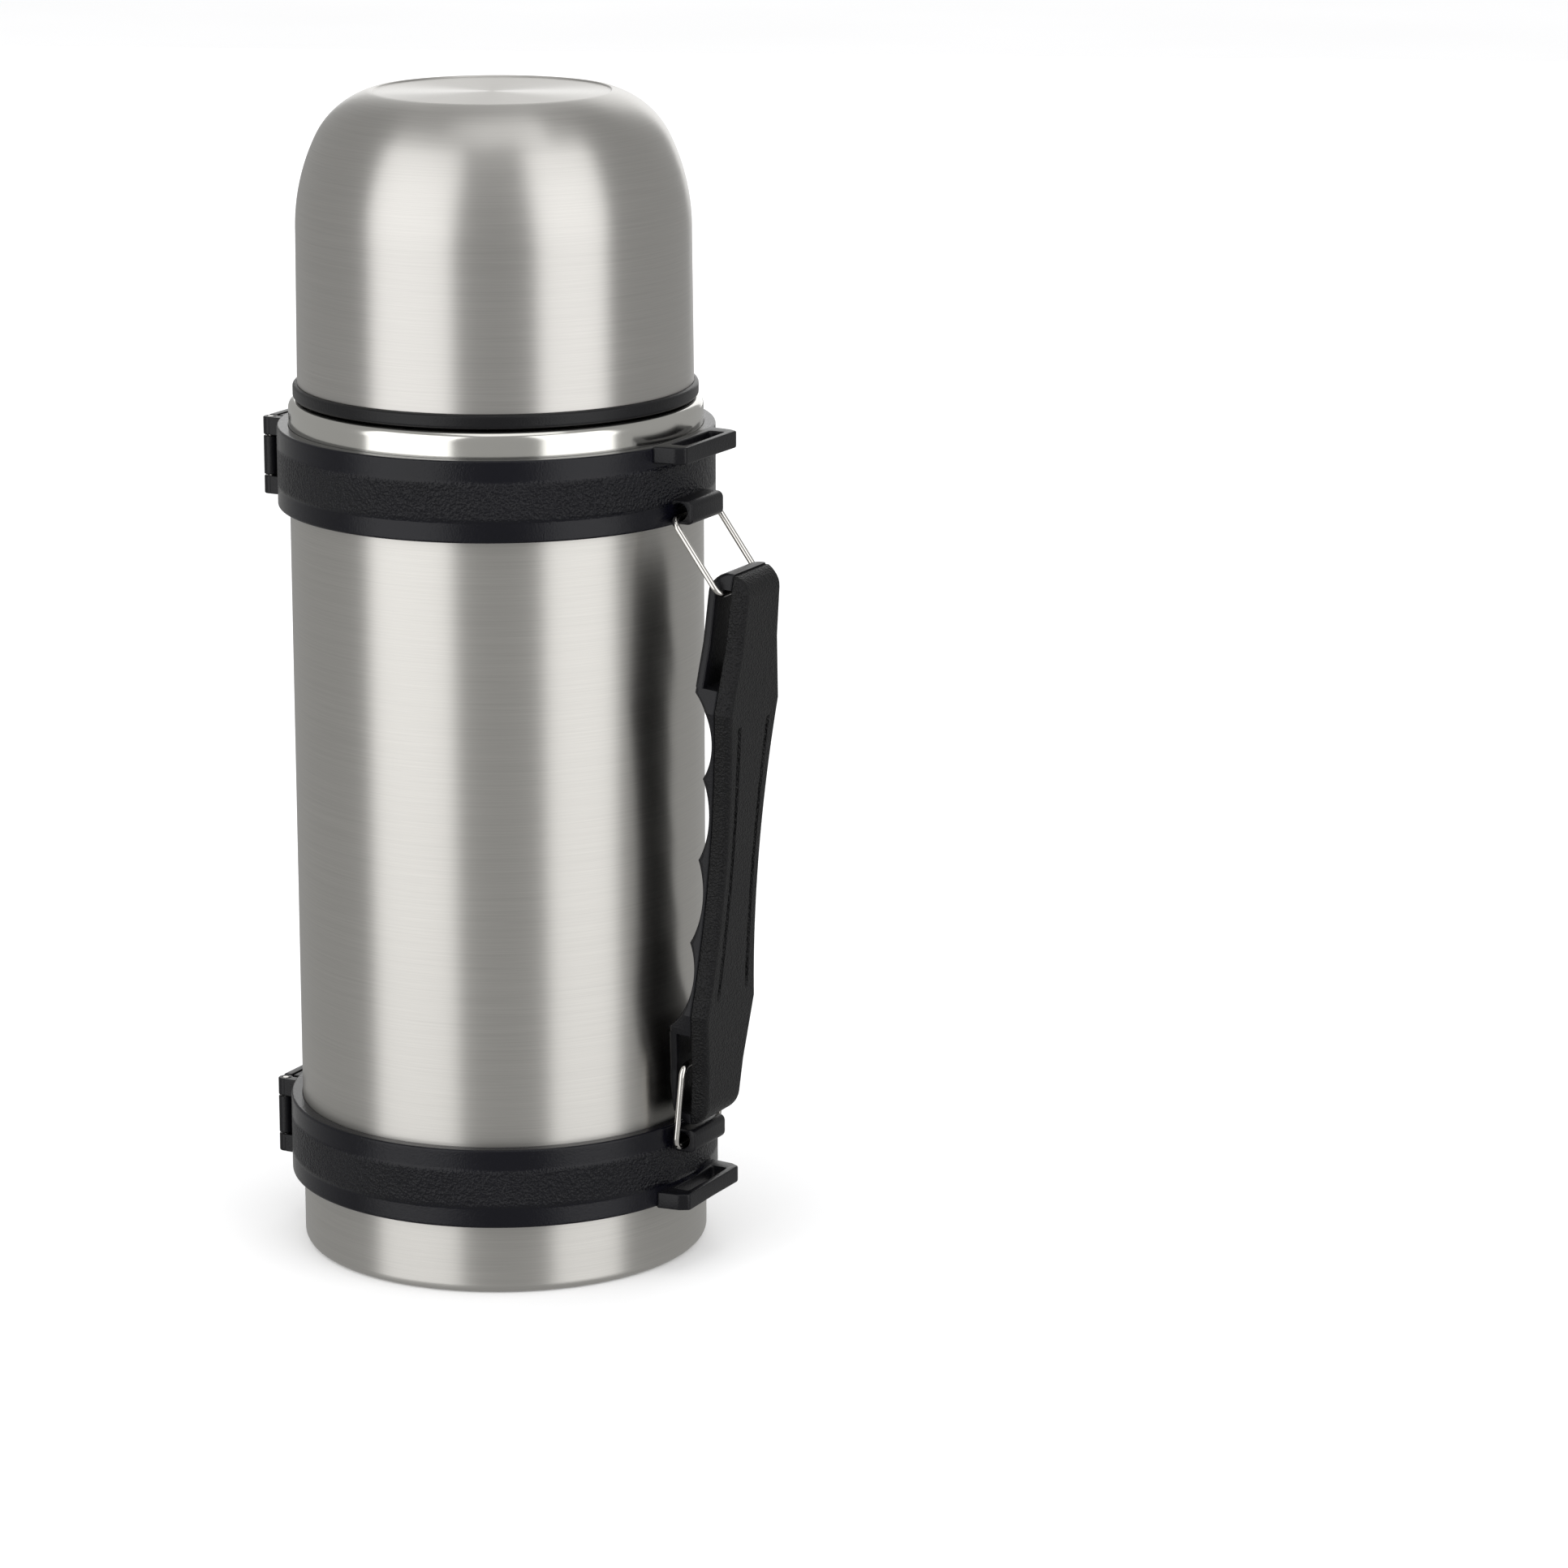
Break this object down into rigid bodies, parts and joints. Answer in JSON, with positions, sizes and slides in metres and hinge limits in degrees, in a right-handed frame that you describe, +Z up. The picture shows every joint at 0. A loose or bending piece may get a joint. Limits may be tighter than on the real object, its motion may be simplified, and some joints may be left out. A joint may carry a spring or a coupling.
{
  "type": "vacuum flask",
  "caption": "Insulated steel bottle with a screw-on drinking cup, push-button pour stopper, strap loops and a folding carry handle on wire links between two black bands",
  "frame": {"origin": "centre of the foot, on the plane the flask stands on", "axes": "+X towards the handle, -X towards the clasps, +Y across, +Z up along the flask"},
  "size_m": [0.1331, 0.11, 0.296],
  "materials": {
    "brushed_steel_body": "stainless steel, brushed around",
    "polished_steel": "stainless steel, polished to a mirror",
    "polished_wire": "steel wire, bright",
    "plain_steel": "stainless steel, plain drawn surface",
    "satin_black": "polypropylene, satin with fine stipple",
    "gloss_black": "polypropylene, moulded semi-gloss",
    "silicone": "silicone rubber, smooth matte",
    "pale_disc": "pale silver plastic, fine satin",
    "foam": "polyurethane foam",
    "spring_steel": "stainless spring wire",
    "getter_pellet": "sintered metal pellet"
  },
  "bodies": {
    "root": {"outer_shell": "brushed_steel_body", "neck_shoulder": "polished_steel", "base_plate": "plain_steel", "vacuum_plug": "plain_steel", "inner_vessel": "plain_steel", "inner_bottom": "plain_steel", "getter": "getter_pellet", "upper_band": "satin_black", "upper_clasp_pin": "polished_wire", "lower_band": "satin_black", "lower_clasp_pin": "polished_wire"},
    "upper_clasp": {"upper_clasp_lever": "satin_black"},
    "lower_clasp": {"lower_clasp_lever": "satin_black"},
    "upper_link": {"upper_bail": "polished_wire"},
    "handle": {"handle_outer": "satin_black", "handle_grip": "satin_black"},
    "lower_link": {"lower_bail": "polished_wire"},
    "collar": {"stopper_collar": "gloss_black", "collar_seal": "silicone"},
    "pour_stopper": {"pour_stopper_body": "gloss_black", "plug_casing": "gloss_black", "plug_foam": "foam", "plug_seal": "silicone", "valve_spring": "spring_steel"},
    "button": {"push_button": "gloss_black", "button_disc": "pale_disc", "valve_stem": "gloss_black", "valve_head": "gloss_black", "valve_seal": "silicone"},
    "cup": {"cup_shell": "brushed_steel_body", "cup_liner": "gloss_black"}
  },
  "joints": [
    {"name": "upper_clasp_swing", "type": "hinge", "parent": "root", "child": "upper_clasp", "pos_m": [-0.0553, -0.018, 0.2027], "axis": [0, 0, 1], "range_deg": [0, 110]},
    {"name": "lower_clasp_swing", "type": "hinge", "parent": "root", "child": "lower_clasp", "pos_m": [-0.0553, -0.018, 0.0284], "axis": [0, 0, 1], "range_deg": [0, 110]},
    {"name": "upper_link_swing", "type": "hinge", "parent": "root", "child": "upper_link", "pos_m": [0.056, 0, 0.1947], "axis": [0, -1, 0], "range_deg": [0, 24]},
    {"name": "handle_tilt", "type": "hinge", "parent": "upper_link", "child": "handle", "pos_m": [0.06893, 0, 0.1769], "axis": [0, 1, 0], "range_deg": [0, 21.5]},
    {"name": "lower_link_swing", "type": "hinge", "parent": "root", "child": "lower_link", "pos_m": [0.056, 0, 0.033], "axis": [0, 1, 0], "range_deg": [0, 32]},
    {"name": "collar_lift", "type": "slide", "parent": "root", "child": "collar", "axis": [0, 0, 1], "range_m": [0, 0.06]},
    {"name": "stopper_lift", "type": "slide", "parent": "collar", "child": "pour_stopper", "axis": [0, 0, 1], "range_m": [0, 0.05]},
    {"name": "button_press", "type": "slide", "parent": "pour_stopper", "child": "button", "axis": [0, 0, -1], "range_m": [0, 0.004], "stiffness_N_per_m": 400, "springref_m": -0.006, "deforming": ["valve_spring"]},
    {"name": "cup_lift", "type": "slide", "parent": "pour_stopper", "child": "cup", "axis": [0, 0, 1], "range_m": [0, 0.09]}
  ],
  "couplings": [
    {"joint": "handle_tilt", "follows": "upper_link_swing", "ratio": 0.89084},
    {"joint": "lower_link_swing", "follows": "upper_link_swing", "ratio": 1.3297}
  ]
}
